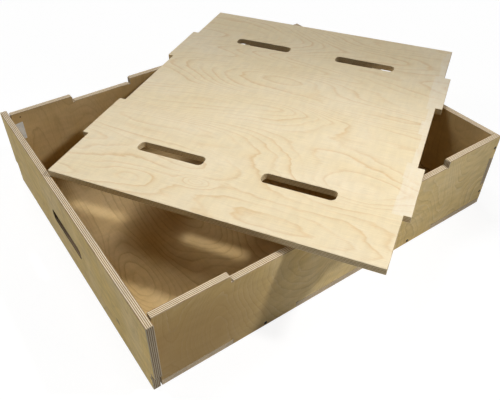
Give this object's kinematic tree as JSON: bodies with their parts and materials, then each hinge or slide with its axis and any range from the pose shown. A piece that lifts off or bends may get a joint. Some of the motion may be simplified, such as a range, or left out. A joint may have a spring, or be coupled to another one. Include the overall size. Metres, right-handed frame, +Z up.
{
  "type": "chuck box",
  "caption": "Shallow rectangular birch plywood box with finger joints, an eared handle end and a loose tabbed lid with rounded hand slots, laid askew across the top.",
  "frame": {"origin": "centre of the box's underside, without the handle end's ears and without the lid", "axes": "+X from the handle end to the plain end, +Y from the front panel to the back panel, +Z up out of the box"},
  "size_m": [0.9071, 0.8569, 0.174],
  "materials": {
    "birch_plywood": "sanded birch plywood, bare, with its plies showing on every edge",
    "blackened_steel": "black phosphated screw steel",
    "beech_dowel": "bare beech"
  },
  "bodies": {
    "box": {"base_panel": "birch_plywood", "front_panel": "birch_plywood", "back_panel": "birch_plywood", "handle_end_panel": "birch_plywood", "plain_end_panel": "birch_plywood", "front_corner_screws": "blackened_steel", "back_corner_screws": "blackened_steel", "end_corner_screws": "blackened_steel", "front_base_screws": "blackened_steel", "back_base_screws": "blackened_steel", "end_base_screws": "blackened_steel", "side_dowels": "beech_dowel", "base_dowels": "beech_dowel"},
    "lid": {"lid": "birch_plywood"}
  },
  "joints": [
    {"name": "lid_lift", "type": "slide", "parent": "box", "child": "lid", "axis": [0, 0, 1], "range_m": [0, 0.25]}
  ]
}
